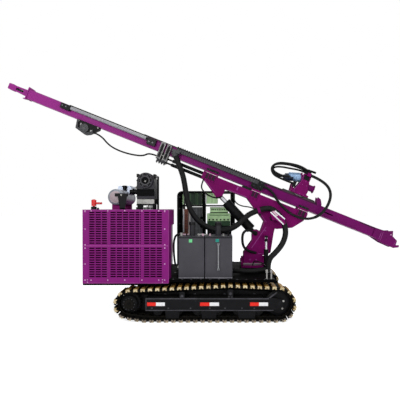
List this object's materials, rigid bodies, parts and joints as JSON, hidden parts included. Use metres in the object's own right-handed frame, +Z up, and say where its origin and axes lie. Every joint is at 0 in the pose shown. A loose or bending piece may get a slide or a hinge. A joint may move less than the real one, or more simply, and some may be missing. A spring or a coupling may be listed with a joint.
{
  "type": "pile driver",
  "caption": "Crawler pile driver with a sloping sliding mast, power head, tilt and roll column, and a grille-sided power pack on steel tracks",
  "frame": {"origin": "on the ground, below the middle of the overall length and width", "axes": "+X towards the mast foot, +Y towards the machine's left, +Z up"},
  "size_m": [5.912, 1.8, 3.3857],
  "materials": {
    "purple": "semi-gloss paint",
    "black_paint": "satin paint",
    "grey_paint": "satin paint",
    "track_gold": "worn golden steel",
    "green_paint": "engine paint",
    "box_grey": "paint",
    "copper": "brown metal",
    "silver": "brushed",
    "chrome": "polished",
    "steel": "machined",
    "pale_metal": "grey-white paint",
    "red": "gloss paint",
    "rubber": "matt rubber",
    "nylon": "moulded",
    "clear": "clear tube"
  },
  "bodies": {
    "base": {"chassis_frame": "black_paint", "deck": "black_paint", "rear_frame": "black_paint", "hood": "purple", "grille_right": "purple", "grille_left": "purple", "power_pack": "black_paint", "canister": "silver", "canister_stand": "black_paint", "air_cleaner": "black_paint", "cleaner_stand": "black_paint", "red_valve": "red", "hydraulic_tank": "grey_paint", "fuel_tank": "grey_paint", "filler_necks": "grey_paint", "sight_gauge": "clear", "engine_canopy": "black_paint", "engine_block": "grey_paint", "engine_cover": "green_paint", "control_box": "box_grey", "cooler": "copper", "base_foot": "purple", "side_ear": "black_paint", "track_right": "track_gold", "track_left": "track_gold", "track_beam_right": "black_paint", "track_beam_left": "black_paint", "rollers_right": "black_paint", "rollers_left": "black_paint", "sprocket_right": "black_paint", "sprocket_left": "black_paint", "idler_right": "black_paint", "idler_left": "black_paint"},
    "column": {"column": "purple", "column_hose": "rubber"},
    "side_barrel": {"side_barrel": "black_paint"},
    "side_rod": {"side_rod": "chrome"},
    "tilt_barrel": {"tilt_barrel": "black_paint"},
    "tilt_rod": {"tilt_rod": "chrome"},
    "carrier": {"carrier": "purple", "slide_pads": "nylon", "slide_barrels": "black_paint", "carrier_hose": "rubber"},
    "mast": {"mast_beam": "purple", "mast_nose": "purple", "mast_foot": "purple", "head_rail": "steel", "feed_cylinder": "silver", "drag_chain": "nylon", "mast_clamp": "pale_metal", "slide_rods": "chrome", "hose_reel": "black_paint", "mast_fork": "purple", "reel_hose": "rubber", "head_hose": "rubber"},
    "head": {"head_carriage": "purple", "head_shoes": "nylon", "head_motor": "black_paint"},
    "spindle": {"spindle": "steel"}
  },
  "joints": [
    {"name": "column_roll", "type": "hinge", "parent": "base", "child": "column", "pos_m": [0.75885, 0, 0.7], "axis": [1, 0, 0], "range_deg": [-5, 5], "deforming": ["column_hose"]},
    {"name": "side_barrel_swing", "type": "hinge", "parent": "base", "child": "side_barrel", "pos_m": [0.94385, -0.2, 0.612], "axis": [1, 0, 0], "range_deg": [-6, 6]},
    {"name": "side_rod_extend", "type": "slide", "parent": "side_barrel", "child": "side_rod", "axis": [0, 0, 1], "range_m": [-0.03, 0.03]},
    {"name": "mast_tilt", "type": "hinge", "parent": "column", "child": "carrier", "pos_m": [1.04785, 0, 1.338], "axis": [0, 1, 0], "range_deg": [0, 68]},
    {"name": "tilt_barrel_swing", "type": "hinge", "parent": "column", "child": "tilt_barrel", "pos_m": [0.79185, 0, 1.111], "axis": [0, 1, 0], "range_deg": [0, 58.1]},
    {"name": "tilt_rod_extend", "type": "slide", "parent": "tilt_barrel", "child": "tilt_rod", "axis": [-0.6852, 0, 0.7283], "range_m": [0, 0.345]},
    {"name": "mast_slide", "type": "slide", "parent": "carrier", "child": "mast", "axis": [-0.9285, 0, 0.3714], "range_m": [0, 0.7], "deforming": ["carrier_hose"]},
    {"name": "head_slide", "type": "slide", "parent": "mast", "child": "head", "axis": [-0.9285, 0, 0.3714], "range_m": [0, 2.1], "deforming": ["head_hose"]},
    {"name": "spindle_spin", "type": "hinge", "parent": "head", "child": "spindle", "pos_m": [1.65692, 0, 1.78368], "axis": [0.9285, 0, -0.3714], "continuous": true}
  ],
  "couplings": [
    {"joint": "side_barrel_swing", "follows": "column_roll", "ratio": 0.79968},
    {"joint": "side_rod_extend", "follows": "column_roll", "m_per_rad": -0.19987},
    {"joint": "tilt_barrel_swing", "follows": "mast_tilt", "ratio": 0.84711},
    {"joint": "tilt_rod_extend", "follows": "mast_tilt", "m_per_rad": 0.28817}
  ]
}
